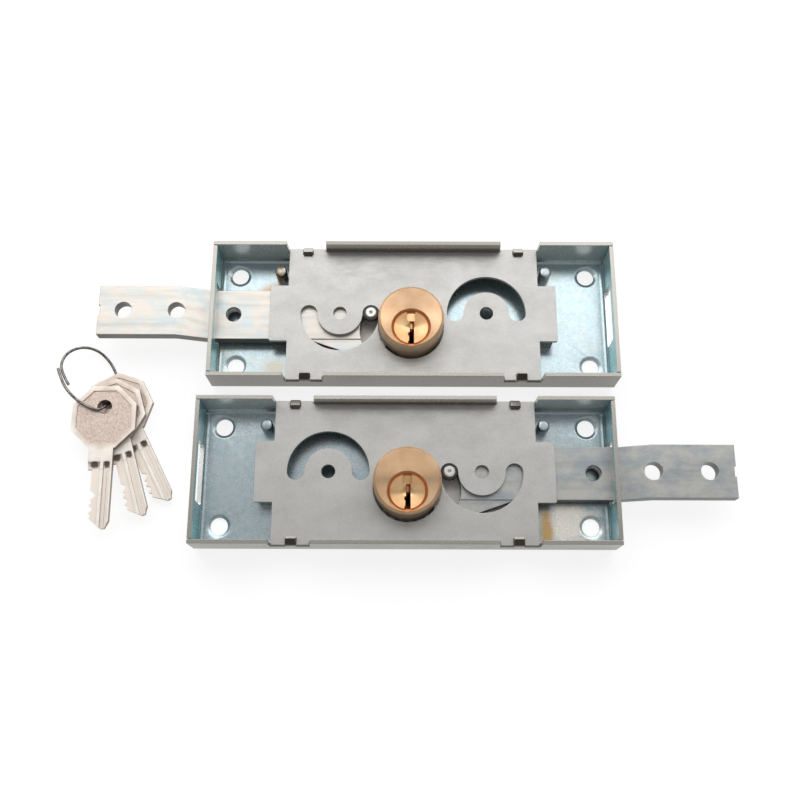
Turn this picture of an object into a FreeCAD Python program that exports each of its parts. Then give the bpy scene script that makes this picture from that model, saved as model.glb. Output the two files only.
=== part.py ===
import FreeCAD, Part
import math
import os

# A pair of side locks for a rolling shutter, left-hand and right-hand, and their keys on a ring.
# Millimetres. +X runs along the cases, +Y up the shutter, +Z out of the back, towards the keyhole.
# The origin is the centre of the left-hand lock's back face. A piece is drawn for the left-hand
# lock, whose bolt leaves towards -X, and the right-hand lock is its mirror image.

# Case: a tray folded from sheet
case_length = 155.0
case_width = 55.0
case_depth = 16.0
sheet = 1.5
bend_radius = 3.0
corner_gap = 0.3
mount_spacing_x = 138.0
mount_spacing_y = 38.0
mount_hole_radius = 3.3
mount_dimple_radius = 4.7
mount_dimple_depth = 0.5
hem_half = 34.3
seat_gap = 0.3
wall_slant = 0.5
lug_x = 41.2
lug_width = 3.6
lug_reach = 2.0
lug_angle = 40.0
lug_rise = 0.5
ear_width = 5.0

# Cover: a flat plate that lies on the long walls
cover_sheet = 1.5
cover_half_length = 48.5
cover_lap = 1.0
cover_side_gap = 0.1
tab_length = 6.9
tab_margin = 1.4
notch_margin = 0.3
notch_depth = 2.4
slot_width = 6.5
crank_hole_radius = 2.6
cover_corner = 0.6

# Bolt: a strip with one joggle
bolt_width = 20.0
bolt_thickness = 4.5
bolt_play = 0.4
joggle_rise = 4.4
joggle_length = 12.5
joggle_clear = 1.0
thread_inset = 7.8
thread_radius = 3.0
outer_hole_radius = 3.25
outer_hole_spacing = 20.4
tip_length = 9.6
tip_nick = 0.6
tip_nick_width = 4.0
tail_drop = 7.0
tail_slope = 20.0
tail_margin = 1.0
tail_step = 0.4
end_slot_side = 1.5
end_slot_low = 0.8
end_slot_high = 0.5
end_slot_corner = 1.0

# Crank: a toothed wheel with a pin that throws the bolt
throw = 12.0
housing_roller_gap = 0.7084
wheel_teeth = 32
pinion_teeth = 16
pressure_angle = 20.0
backlash = 0.12
gear_thickness = 1.6
running_gap = 0.3
pivot_radius = 3.0
pivot_shoulder = 5.5
pivot_rivet = 2.5
pin_radius = 1.5
pin_head_radius = 2.15
pin_head_height = 0.7
roller_gap = 0.15
roller_edge = 0.25
cross_slot_width = 5.5
cross_slot_gap = 0.25
cross_slot_taper = 1.2

# Cylinder: a round housing with the plug low in it, a little to the bolt's side of the middle
cylinder_x = -0.85
housing_radius = 12.4
housing_y = -4.9
housing_face = 19.0
housing_edge = 0.9
housing_flat = 9.0
housing_bolt_gap = 0.8
cover_ring_gap = 0.25
cover_ring_slack = 1.1
plug_drop = 4.2
plug_radius = 6.2
plug_recess = 0.6
countersink_radius = 7.45
flange_radius = 6.65
flange_height = 1.0
dish_rim = 0.25
dish_depth = 1.2
tail_radius = 5.6
tail_flat = 5.0
tail_floor = 0.6
turning_gap = 0.05
snug_gap = 0.02
stack_gap = 0.1
foot_x = 5.0
foot_inset = 4.1
foot_radius = 1.9
foot_root = 1.5
retainer_radius = 7.6
retainer_sheet = 0.5
retainer_mouth = 3.0
screw_radius = 1.5
screw_head_radius = 2.75
screw_length = 8.0
screw_slot = 0.7

# Pins and springs
pin_count = 4
first_pin = 3.6
pin_pitch = 2.6
tumbler_radius = 1.1
tumbler_nose = 0.7
chamber_foot = 1.5
driver_length = 3.2
spring_wall = 0.35
chamber_plug_length = 1.6

# Posts beside the cover
post_radius = 2.3
post_inset = 7.7
post_gap = 1.2
post_rivet = 1.8
post_edge = 1.0

# Keys and keyway
key_thickness = 2.2
blade_thickness = 2.0
blade_height = 7.4
blade_length = 22.1
bow_width = 24.0
bow_offset = 3.9
bow_rim = 1.8
bow_recess = 0.3
joint_overlap = 1.0
neck_width = 9.0
neck_side = 4.4
neck_length = 8.2
key_hole_radius = 2.8
cut_depths = (1.6, 0.5, 0.9, 0.4)
cut_flat = 0.7
cut_angle = 50.0
spine_width = 0.7
groove_width = 2.5
groove_depth = 0.6
groove_ridge = 0.35
groove_ridge_height = 0.25
strip_width = 3.0
cutter_radius = 8.0
tip_point = 2.8
tip_chamfer = 1.3
tip_taper = 3.8
tip_flat = 1.4
keyway_gap = 0.1
keyway_rib = 0.25
keyway_slit = 1.6
keyway_notch = 3.2
keyway_notch_depth = 1.3
spine_inset = 0.1

# Key ring and the places of the loose pieces
wire_radius = 0.55
key_gap = 0.1
right_lock_place = (-3.0, -62.6)
key_places = (
    ((-116.5, -37.5), 1.0),
    ((-115.6, -34.8), 17.7),
    ((-114.3, -32.0), 27.8),
)

# Heights, counted from the back face
floor_top = sheet
wheel_low = floor_top + running_gap
wheel_top = wheel_low + gear_thickness
bolt_low = wheel_top + running_gap - stack_gap
bolt_top = bolt_low + bolt_thickness
cover_low = bolt_top + bolt_play
cover_top = cover_low + cover_sheet
outer_bolt_low = bolt_low + joggle_rise
outer_bolt_top = bolt_top + joggle_rise
housing_low = wheel_top + retainer_sheet + stack_gap
plug_face = housing_face - plug_recess
tail_low = wheel_low - turning_gap
key_stop = tail_low + tail_floor

# Places along X and Y
half_length = case_length / 2
half_width = case_width / 2
inner_half_width = half_width - sheet
wall_gap_end = cover_half_length + seat_gap
plug_y = housing_y - plug_drop
foot_y = housing_y + housing_radius - foot_inset
tab_end = cover_half_length + tab_length
tab_half = bolt_width / 2 + tab_margin
joggle_start = half_length + joggle_clear
joggle_end = joggle_start + joggle_length
tip_x = joggle_end + outer_hole_spacing + tip_length
thread_x = half_length - thread_inset
bolt_inner_end = housing_flat - cylinder_x + housing_bolt_gap
post_x = cover_half_length + post_gap + post_radius
post_y = inner_half_width - post_inset
roller_radius = slot_width / 2 - roller_gap
roller_reach = housing_radius + roller_radius + housing_roller_gap
crank_x = throw - cylinder_x + math.sqrt(roller_reach ** 2 - housing_y ** 2)
gear_distance = math.hypot(crank_x + cylinder_x, plug_y)
gear_module = 2 * gear_distance / (wheel_teeth + pinion_teeth)


def solid_from(points, low, high):
    """A straight-sided solid over a closed outline of X, Y points."""
    corners = [FreeCAD.Vector(x, y, low) for x, y in points]
    face = Part.Face(Part.makePolygon(corners + corners[:1]))
    return face.extrude(FreeCAD.Vector(0, 0, high - low))


def block(x0, x1, y0, y1, z0, z1):
    return Part.makeBox(x1 - x0, y1 - y0, z1 - z0, FreeCAD.Vector(x0, y0, z0))


def disc(x, y, radius, low, high):
    return Part.makeCylinder(radius, high - low, FreeCAD.Vector(x, y, low))


def cone(x, y, low_radius, high_radius, low, high):
    return Part.makeCone(low_radius, high_radius, high - low, FreeCAD.Vector(x, y, low))


def turned(x, y, profile):
    """A solid of revolution about the upright through x, y, from radius and height points."""
    corners = [FreeCAD.Vector(x + r, y, z) for r, z in profile]
    face = Part.Face(Part.makePolygon(corners + corners[:1]))
    return face.revolve(FreeCAD.Vector(x, y, 0), FreeCAD.Vector(0, 0, 1), 360)


def arc_slot(x, radius, width, sign, low, high):
    """Half a ring round x, 0 with round ends, above the X axis for sign 1 and below it for -1."""
    ring = disc(x, 0, radius + width / 2, low, high)
    ring = ring.cut(disc(x, 0, radius - width / 2, low, high))
    reach = radius + width
    y_low, y_high = (0, reach) if sign > 0 else (-reach, 0)
    slot = ring.common(block(x - reach, x + reach, y_low, y_high, low, high))
    for side in (-1, 1):
        slot = slot.fuse(disc(x + side * radius, 0, width / 2, low, high))
    return slot


def upright_edges(shape, x_size):
    """The upright edges that lie x_size or more from the middle."""
    found = []
    for edge in shape.Edges:
        a, b = edge.Vertexes[0].Point, edge.Vertexes[-1].Point
        if abs(a.x - b.x) + abs(a.y - b.y) < 1e-6 and abs(a.x) > x_size:
            found.append(edge)
    return found


# Case

def folded_tray():
    """A floor with its walls bent up: the long walls run from end to end, the end walls between them."""
    inset_x = half_length - sheet
    flat_x = half_length - bend_radius
    flat_y = half_width - bend_radius
    outer = block(-half_length, half_length, -half_width, half_width, 0, case_depth)
    across = block(-case_length, case_length, -inner_half_width, inner_half_width, floor_top, case_depth)
    between = block(-inset_x, inset_x, -case_width, case_width, floor_top, case_depth)
    long_walls = bent(outer, bend_radius, "XLength").cut(bent(across, bend_radius - sheet, "XLength"))
    for x0, x1 in ((-half_length, -flat_x), (flat_x, half_length)):
        long_walls = long_walls.cut(block(x0, x1, -flat_y, flat_y, 0, floor_top))
    end_walls = bent(outer, bend_radius, "YLength").cut(bent(between, bend_radius - sheet, "YLength"))
    low_half = flat_y - corner_gap
    high_half = inner_half_width - corner_gap
    kept = block(-half_length, half_length, -low_half, low_half, 0, case_depth)
    kept = kept.fuse(block(-half_length, half_length, -high_half, high_half, bend_radius, case_depth))
    return long_walls.fuse(end_walls.common(kept))


def bent(shape, radius, length):
    """A block with its two bottom edges along one axis rounded."""
    low = shape.BoundBox.ZMin
    edges = [e for e in shape.Edges
             if e.BoundBox.ZMax < low + 1e-6 and getattr(e.BoundBox, length) > radius]
    return shape.makeFillet(radius, edges)


def lug(sx, sy):
    """A tongue of the long wall, bent inwards over the edge of the cover."""
    angle = math.radians(lug_angle)
    bend = cover_low + lug_rise
    run, lift = lug_reach, lug_reach * math.tan(angle)
    across, up = sheet * math.sin(angle), sheet * math.cos(angle)
    knee = bend + (sheet - across) * math.tan(angle) + up
    profile = [
        (inner_half_width, cover_low - sheet),
        (inner_half_width, bend),
        (inner_half_width - run, bend + lift),
        (inner_half_width - run + across, bend + lift + up),
        (half_width, knee - 2 * (sheet - across) * math.tan(angle)),
        (half_width, cover_low - sheet),
    ]
    x0 = sx * lug_x - lug_width / 2
    corners = [FreeCAD.Vector(x0, sy * y, z) for y, z in profile]
    face = Part.Face(Part.makePolygon(corners + corners[:1]))
    return face.extrude(FreeCAD.Vector(lug_width, 0, 0))


def end_slot(side):
    """The opening in an end wall that the bolt slides through."""
    y = bolt_width / 2 + end_slot_side
    low = bolt_low - end_slot_low
    high = outer_bolt_top + end_slot_high
    x0, x1 = sorted((side * (half_length - 2 * sheet), side * (half_length + sheet)))
    opening = block(x0, x1, -y, y, low, high)
    along_x = [e for e in opening.Edges if e.BoundBox.XLength > sheet]
    return opening.makeFillet(end_slot_corner, along_x)


def make_case():
    case = folded_tray()
    for side in (-1, 1):
        case = case.cut(end_slot(side))
        for sy in (-1, 1):
            case = case.cut(wall_gap(side, sy)).fuse(lug(side, sy))
            x, y = side * mount_spacing_x / 2, sy * mount_spacing_y / 2
            case = case.cut(disc(x, y, mount_hole_radius, 0, floor_top))
            dimple_low = floor_top - mount_dimple_depth
            dimple = cone(x, y, mount_hole_radius, mount_dimple_radius, dimple_low, floor_top)
            case = case.cut(dimple)
        case = case.cut(disc(side * post_x, post_y, post_rivet + snug_gap, 0, floor_top))
        case = case.cut(screw_head_hole(cylinder_x + side * foot_x, foot_y))
    case = case.cut(disc(-crank_x, 0, pivot_rivet + snug_gap, 0, floor_top))
    case = case.cut(ear_window()).fuse(cover_ear())
    return case.removeSplitter()


def wall_gap(side, sy):
    """The stretch of long wall that is cut down to carry the cover."""
    profile = [
        (hem_half, cover_low),
        (wall_gap_end, cover_low),
        (wall_gap_end + wall_slant, case_depth + sheet),
        (hem_half - wall_slant, case_depth + sheet),
    ]
    y = sy * inner_half_width - (2 * sheet if sy < 0 else sheet)
    corners = [FreeCAD.Vector(side * x, y, z) for x, z in profile]
    face = Part.Face(Part.makePolygon(corners + corners[:1]))
    return face.extrude(FreeCAD.Vector(0, 3 * sheet, 0))


def ear_box(low, high):
    """The ear's plan, under the edge of the cover's free tab."""
    x0 = cover_half_length + cover_side_gap
    return block(x0, x0 + ear_width, -tab_half, -tab_half + sheet, low, high)


def cover_ear():
    """A tongue cut from the floor and bent up under the cover's free tab."""
    return ear_box(0.5 * sheet, cover_low - snug_gap)


def ear_window():
    """The hole that the ear leaves in the floor."""
    x0 = cover_half_length + cover_side_gap
    length = cover_low - sheet
    return block(x0, x0 + ear_width, -tab_half + sheet, -tab_half + sheet + length, 0, floor_top)


def screw_head_hole(x, y):
    head = screw_head_radius + snug_gap
    shank = screw_radius + snug_gap
    seat = head - shank
    return cone(x, y, head, shank, 0, seat).fuse(disc(x, y, shank, seat, floor_top))


# Cover

def cover_outline():
    """The cover's edge, from the middle of one long side round to the next."""
    narrow = inner_half_width - cover_side_gap
    wide = inner_half_width + cover_lap
    shoulder = hem_half + seat_gap
    quarter = [
        (shoulder, narrow),
        (shoulder, wide),
        (lug_x - lug_width / 2 - notch_margin, wide),
        (lug_x - lug_width / 2 - notch_margin, wide - notch_depth),
        (lug_x + lug_width / 2 + notch_margin, wide - notch_depth),
        (lug_x + lug_width / 2 + notch_margin, wide),
        (cover_half_length, wide),
        (cover_half_length, tab_half),
        (tab_end, tab_half),
    ]
    right = quarter + [(x, -y) for x, y in reversed(quarter)]
    return right + [(-x, -y) for x, y in right]


def make_cover():
    cover = solid_from(cover_outline(), cover_low, cover_top)
    cover = cover.makeFillet(cover_corner, upright_edges(cover, cover_half_length + sheet))
    for y in (housing_y, housing_y - cover_ring_slack):
        cover = cover.cut(disc(cylinder_x, y, housing_radius + cover_ring_gap, cover_low, cover_top))
    cover = cover.cut(arc_slot(-crank_x, throw, slot_width, -1, cover_low, cover_top))
    cover = cover.cut(arc_slot(crank_x, throw, slot_width, 1, cover_low, cover_top))
    for side in (-1, 1):
        cover = cover.cut(disc(side * crank_x, 0, crank_hole_radius, cover_low, cover_top))
    return cover


def make_posts():
    """Two riveted pillars with rounded heads in the upper pockets."""
    shallow = post_edge / 3
    posts = []
    for side in (-1, 1):
        posts.append(turned(side * post_x, post_y, [
            (0, 0),
            (post_rivet, 0),
            (post_rivet, floor_top),
            (post_radius, floor_top),
            (post_radius, cover_low - post_edge),
            (post_radius - shallow, cover_low - shallow),
            (post_radius - post_edge, cover_low),
            (0, cover_low),
        ]))
    return Part.makeCompound(posts)


# Bolt

def bolt_strip():
    """The joggled strip, as its side profile drawn out to its width."""
    profile = [
        (-tip_x, outer_bolt_low),
        (-joggle_end, outer_bolt_low),
        (-joggle_start, bolt_low),
        (-bolt_inner_end, bolt_low),
        (-bolt_inner_end, bolt_top),
        (-joggle_start, bolt_top),
        (-joggle_end, outer_bolt_top),
        (-tip_x, outer_bolt_top),
    ]
    corners = [FreeCAD.Vector(x, -bolt_width / 2, z) for x, z in profile]
    face = Part.Face(Part.makePolygon(corners + corners[:1]))
    return face.extrude(FreeCAD.Vector(0, bolt_width, 0))


def cross_slot():
    """The slot that the crank's pin works in, bulged because the bolt moves evenly."""
    half = cross_slot_width / 2
    bulge = 0.0
    depth = 0.0
    steps = 60
    for step in range(steps + 1):
        turn = math.pi * step / steps
        lead = throw * math.cos(turn) - throw + 2 * throw * turn / math.pi
        if lead > bulge:
            bulge = lead
            depth = throw * math.sin(turn)
    wide = bulge + pin_radius + cross_slot_gap
    narrow = wide - cross_slot_taper
    x = -(crank_x - throw)
    end = -throw - pin_radius - 2 * cross_slot_gap
    z = bolt_low

    def point(dx, y):
        return FreeCAD.Vector(x + dx, y, z)

    top = Part.Arc(point(half, 0), point(0, half), point(-half, 0))
    left = Part.Arc(point(-half, 0), point(-wide, -depth), point(-narrow, -throw))
    foot = Part.Arc(point(-narrow, -throw), point(0, end), point(narrow, -throw))
    right = Part.Arc(point(narrow, -throw), point(wide, -depth), point(half, 0))
    outline = Part.Wire([curve.toShape() for curve in (top, left, foot, right)])
    return Part.Face(outline).extrude(FreeCAD.Vector(0, 0, bolt_thickness))


def make_bolt():
    bolt = bolt_strip()
    low = -bolt_width / 2
    flank = -(crank_x - throw) - cross_slot_width
    bolt = bolt.fuse(solid_from([
        (-bolt_inner_end, low),
        (-bolt_inner_end, low - tail_drop),
        (flank + tail_margin, low - tail_drop),
        (flank + tail_margin - tail_slope, low),
    ], bolt_low, bolt_top - tail_step))
    bolt = bolt.removeSplitter().cut(cross_slot())
    bolt = bolt.cut(disc(-thread_x, 0, thread_radius, bolt_low, bolt_top))
    for x in (joggle_end, joggle_end + outer_hole_spacing):
        bolt = bolt.cut(disc(-x, 0, outer_hole_radius, bolt_low, outer_bolt_top))
    nick = block(-tip_x, -tip_x + tip_nick, -tip_nick_width / 2, tip_nick_width / 2,
                 outer_bolt_low, outer_bolt_top)
    return bolt.cut(nick)


# Crank and pinion

def involute_gear(x, y, teeth, phase, low, high):
    """A spur gear with one tooth centred at the angle phase."""
    pitch = gear_module * teeth / 2
    base = pitch * math.cos(math.radians(pressure_angle))
    tip = pitch + gear_module
    root = pitch - 1.25 * gear_module
    half_pitch = math.pi / (2 * teeth) - backlash / (2 * pitch)

    def roll(radius):
        tangent = math.acos(min(1.0, base / radius))
        return math.tan(tangent) - tangent

    radii = [root, pitch, tip]
    flank = [(r, half_pitch + roll(pitch) - roll(max(r, base))) for r in radii]
    points = []
    for tooth in range(teeth):
        centre = phase + 2 * math.pi * tooth / teeth
        for radius, half in flank:
            points.append((x + radius * math.cos(centre - half), y + radius * math.sin(centre - half)))
        for radius, half in reversed(flank):
            points.append((x + radius * math.cos(centre + half), y + radius * math.sin(centre + half)))
    return solid_from(points, low, high)


def mesh_angle():
    """The direction from the crank's axis to the plug's axis."""
    return math.atan2(plug_y, crank_x + cylinder_x)


def make_crank_wheel():
    wheel = involute_gear(-crank_x, 0, wheel_teeth, mesh_angle(), wheel_low, wheel_top)
    wheel = wheel.cut(disc(-crank_x, 0, pivot_radius + turning_gap, wheel_low, wheel_top))
    return wheel.cut(disc(-crank_x + throw, 0, pin_radius + snug_gap, wheel_low, wheel_top))


def make_crank_pivot():
    return turned(-crank_x, 0, [
        (0, 0),
        (pivot_rivet, 0),
        (pivot_rivet, floor_top),
        (pivot_shoulder, floor_top),
        (pivot_shoulder, wheel_low - turning_gap),
        (pivot_radius, wheel_low - turning_gap),
        (pivot_radius, wheel_top),
        (0, wheel_top),
    ])


def make_crank_pin():
    """A plain shank with a round head that has a dimple in its middle."""
    head_low = cover_top + running_gap
    head_top = head_low + pin_head_height
    dimple = pin_head_radius / 3
    return turned(-crank_x + throw, 0, [
        (0, wheel_low),
        (pin_radius, wheel_low),
        (pin_radius, head_low),
        (pin_head_radius, head_low),
        (pin_head_radius, head_top - pin_head_height / 2),
        (pin_head_radius - pin_head_height / 2, head_top),
        (dimple, head_top),
        (0, head_top - dimple),
    ])


def make_crank_roller():
    low = cover_low - turning_gap
    high = cover_top + running_gap - turning_gap
    bore = pin_radius + turning_gap
    return turned(-crank_x + throw, 0, [
        (bore, low),
        (roller_radius - roller_edge, low),
        (roller_radius, low + roller_edge),
        (roller_radius, high - roller_edge),
        (roller_radius - roller_edge, high),
        (bore, high),
    ])


# Cylinder, drawn round the plug's own upright

def pin_heights():
    return [plug_face - first_pin - pin_pitch * step for step in range(pin_count)]


def along_y(x, z, radius, y0, y1):
    place = FreeCAD.Vector(x, y0, z)
    return Part.makeCylinder(radius, y1 - y0, place, FreeCAD.Vector(0, 1, 0))


def housing_back():
    """Where the housing's round side ends, above the plug."""
    return housing_y + housing_radius


def make_housing():
    body = turned(0, housing_y, [
        (0, housing_low),
        (housing_radius, housing_low),
        (housing_radius, housing_face - housing_edge),
        (housing_radius - housing_edge, housing_face),
        (0, housing_face),
    ])
    reach = 2 * housing_radius
    for side in (-1, 1):
        x0, x1 = sorted((side * housing_flat, side * reach))
        shank_top = bolt_top + bolt_play / 2
        body = body.cut(block(x0, x1, -reach, reach, housing_low, shank_top))
        body = body.fuse(disc(side * foot_x, foot_y, foot_radius, floor_top, housing_low + foot_root))
    for side in (-1, 1):
        body = body.cut(disc(side * foot_x, foot_y, screw_radius + snug_gap,
                             floor_top, screw_length + snug_gap))
    body = body.cut(disc(0, plug_y, plug_radius + turning_gap, housing_low, housing_face))
    seat_radius = flange_radius + 2 * turning_gap
    body = body.cut(disc(0, plug_y, seat_radius, plug_face - flange_height - turning_gap, housing_face))
    body = body.cut(cone(0, plug_y, seat_radius, countersink_radius,
                         housing_face - countersink_radius + seat_radius, housing_face))
    half = blade_thickness / 2 + keyway_gap
    body = body.cut(block(-half, half, plug_y - countersink_radius, plug_y,
                          plug_face - flange_height - turning_gap, housing_face))
    for z in pin_heights():
        body = body.cut(along_y(0, z, tumbler_radius + turning_gap, plug_y, housing_back() + joint_overlap))
    return body.removeSplitter()


def spine_y():
    """Where the key's spine lies in the plug, just inside the plug's underside."""
    return plug_y - plug_radius + spine_inset


def keyway_outline():
    """The section seen along the key: open below, a rib for its groove, narrow for its thin side."""
    half = blade_thickness / 2
    wide = half + keyway_gap
    thin = half - groove_depth + keyway_gap
    rib = half - keyway_rib
    spine = spine_y()
    rib_low = spine + spine_width + keyway_gap
    rib_high = spine + spine_width + groove_width - keyway_gap
    step = spine + blade_height - strip_width + keyway_gap
    high = spine + blade_height + keyway_slit
    low = plug_y - countersink_radius
    left = [(-thin, high), (-thin, step), (-wide, step), (-wide, rib_high), (-rib, rib_high),
            (-rib, rib_low), (-wide, rib_low), (-wide, low)]
    return left + [(wide, low), (wide, high)]


def make_plug():
    plug = turned(0, plug_y, [
        (0, housing_low - turning_gap),
        (plug_radius, housing_low - turning_gap),
        (plug_radius, plug_face - flange_height),
        (flange_radius, plug_face - flange_height),
        (flange_radius, plug_face - dish_rim),
        (flange_radius - dish_rim, plug_face),
        (0, plug_face - dish_depth),
    ])
    plug = plug.fuse(plug_tail(0, tail_low, housing_low))
    outline = keyway_outline()
    plug = plug.cut(solid_from(outline, key_stop, housing_face))
    slit_end = outline[0][1]
    half = keyway_notch / 2
    plug = plug.cut(block(-half, half, slit_end, plug_y + flange_radius,
                          plug_face - keyway_notch_depth, housing_face))
    for z in pin_heights():
        plug = plug.cut(along_y(0, z, tumbler_radius + turning_gap,
                                plug_y - chamber_foot, plug_y + plug_radius + joint_overlap))
    return plug.removeSplitter()


def plug_tail(gap, low, high):
    """The tail's round bar with two flats, larger by gap where it is a hole."""
    bar = disc(0, plug_y, tail_radius + gap, low, high)
    reach = 2 * tail_radius
    flat = tail_flat + gap
    return bar.common(block(-flat, flat, plug_y - reach, plug_y + reach, low, high))


def make_pinion():
    phase = mesh_angle() + math.pi + math.pi / pinion_teeth
    pinion = involute_gear(0, plug_y, pinion_teeth, phase, wheel_low, wheel_top)
    pinion = pinion.cut(plug_tail(snug_gap, wheel_low, wheel_top))
    return pinion.translated(FreeCAD.Vector(cylinder_x, 0, 0))


def make_plug_retainer():
    """A flat ring with a mouth, between the pinion and the housing."""
    low = wheel_top + turning_gap
    high = low + retainer_sheet
    ring = disc(0, plug_y, retainer_radius, low, high)
    ring = ring.cut(disc(0, plug_y, tail_radius + snug_gap, low, high))
    mouth = retainer_mouth / 2
    return ring.cut(block(-mouth, mouth, plug_y, plug_y + 2 * retainer_radius, low, high))


def make_key_pins():
    """The lower pins, each as long as its cut in the key needs, held at the plug's edge."""
    top = plug_y + math.sqrt(plug_radius ** 2 - tumbler_radius ** 2) - turning_gap
    pins = []
    for z, depth in zip(pin_heights(), cut_depths):
        low = spine_y() + blade_height - depth
        bar = along_y(0, z, tumbler_radius, low + tumbler_nose, top)
        nose = Part.makeCone(tumbler_radius / 3, tumbler_radius, tumbler_nose,
                             FreeCAD.Vector(0, low, z), FreeCAD.Vector(0, 1, 0))
        pins.append(bar.fuse(nose).removeSplitter())
    return Part.makeCompound(pins)


def driver_ends():
    low = plug_y + plug_radius + 2 * turning_gap
    return low, low + driver_length


def make_driver_pins():
    low, high = driver_ends()
    return Part.makeCompound([along_y(0, z, tumbler_radius, low, high) for z in pin_heights()])


def make_pin_springs():
    """The springs behind the driver pins, as sleeves of their outer size."""
    low = driver_ends()[1] + turning_gap
    high = housing_back() - chamber_plug_length - turning_gap
    outer = tumbler_radius - turning_gap
    springs = []
    for z in pin_heights():
        sleeve = along_y(0, z, outer, low, high)
        springs.append(sleeve.cut(along_y(0, z, outer - spring_wall, low, high)))
    return Part.makeCompound(springs)


def make_chamber_plugs():
    """Discs that close the pin chambers, flush with the housing's round side."""
    low = housing_back() - chamber_plug_length
    skin = disc(0, housing_y, housing_radius, 0, housing_face)
    radius = tumbler_radius + snug_gap
    far = housing_back() + joint_overlap
    plugs = [along_y(0, z, radius, low, far).common(skin) for z in pin_heights()]
    return Part.makeCompound(plugs)


def make_cylinder_screws():
    """Countersunk screws, flush with the case's back, with a slot for the driver."""
    screws = []
    seat = screw_head_radius - screw_radius
    for side in (-1, 1):
        x = side * foot_x
        screw = cone(x, foot_y, screw_head_radius, screw_radius, 0, seat)
        screw = screw.fuse(disc(x, foot_y, screw_radius, seat, screw_length))
        slot = block(x - screw_slot / 2, x + screw_slot / 2, foot_y - screw_head_radius,
                     foot_y + screw_head_radius, 0, screw_slot)
        screws.append(screw.cut(slot).removeSplitter())
    return Part.makeCompound(screws)


# Keys, drawn round the hole in the bow, with the blade towards -Y and the spine on +X

def cut_profile(shoulder, tip):
    """The cut edge of the blade, from the shoulder to the last cut. The key stops at its tip."""
    edge_x = neck_side - blade_height
    slope = math.tan(math.radians(cut_angle))
    points = [(edge_x, shoulder)]
    places = [tip + z - key_stop for z in pin_heights()]
    last = None
    for y, depth in zip(places, cut_depths):
        start = y + cut_flat / 2
        if last is None:
            points.append((edge_x, start + depth / slope))
        else:
            old_y, old_depth = last
            room = old_y - cut_flat / 2 - start
            peak = (old_depth + depth - room * slope) / 2
            points.append((edge_x + peak, start + (depth - peak) / slope))
        points.append((edge_x + depth, start))
        points.append((edge_x + depth, y - cut_flat / 2))
        last = (y, depth)
    y, depth = last
    points.append((edge_x, y - cut_flat / 2 - depth / slope))
    return points


def make_key():
    middle = -bow_offset
    radius = bow_width / 2 / math.cos(math.pi / 8)
    turn = math.pi / 8

    def octagon(size, low, high):
        corners = [turn + math.pi / 4 * step for step in range(8)]
        return solid_from([(size * math.cos(a), middle + size * math.sin(a)) for a in corners], low, high)

    key = octagon(radius, 0, key_thickness)
    inner = radius - bow_rim / math.cos(math.pi / 8)
    key = key.cut(octagon(inner, 0, bow_recess))
    key = key.cut(octagon(inner, key_thickness - bow_recess, key_thickness))
    bow_end = middle - bow_width / 2
    shoulder = bow_end - neck_length
    neck = solid_from([
        (neck_side, bow_end + joint_overlap),
        (neck_side, shoulder),
        (neck_side - neck_width, shoulder),
        (neck_side - neck_width, bow_end + joint_overlap),
    ], 0, key_thickness)
    key = key.fuse(neck)
    tip = shoulder - blade_length
    blade = [(neck_side, shoulder + joint_overlap), (neck_side - blade_height, shoulder + joint_overlap)]
    blade += cut_profile(shoulder, tip)
    strip_x = neck_side - blade_height + strip_width
    point_x = (neck_side + strip_x) / 2
    blade += [
        (neck_side - blade_height, tip + tip_taper),
        (strip_x, tip + tip_chamfer),
        (point_x - tip_flat / 2, tip),
        (point_x + tip_flat / 2, tip),
        (neck_side, tip + tip_point),
    ]
    low = (key_thickness - blade_thickness) / 2
    key = key.fuse(solid_from(blade, low, low + blade_thickness))
    groove_x = neck_side - spine_width - groove_width
    groove = milled(groove_x, groove_x + groove_width, tip, shoulder, low + blade_thickness)
    ridge_x = groove_x + (groove_width - groove_ridge) / 2
    ridge_low = low + blade_thickness - groove_depth
    ridge = block(ridge_x, ridge_x + groove_ridge, tip, shoulder, ridge_low, ridge_low + groove_ridge_height)
    key = key.cut(groove.cut(ridge))
    key = key.cut(milled(neck_side - neck_width - joint_overlap, strip_x, tip, shoulder, low + blade_thickness))
    key = key.cut(disc(0, 0, key_hole_radius, 0, key_thickness))
    return key.removeSplitter()


def milled(x0, x1, tip, shoulder, surface):
    """A groove milled along the blade's upper face, with the cutter's round end above the shoulder."""
    floor = surface - groove_depth
    centre = FreeCAD.Vector(x0, shoulder, floor + cutter_radius)
    run_out = Part.makeCylinder(cutter_radius, x1 - x0, centre, FreeCAD.Vector(1, 0, 0))
    straight = block(x0, x1, tip - joint_overlap, shoulder, floor, floor + cutter_radius)
    return straight.fuse(run_out)


def key_low(level):
    """The height of a key's lower face, the last key lying on the wire."""
    below = len(key_places) - 1 - level
    return 2 * wire_radius + 2 * key_gap + below * (key_thickness + key_gap)


def placed_key(key, level):
    (x, y), swing = key_places[level]
    placed = key.copy()
    placed.rotate(FreeCAD.Vector(0, 0, 0), FreeCAD.Vector(0, 0, 1), swing)
    placed.translate(FreeCAD.Vector(x, y, key_low(level)))
    return placed


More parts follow.
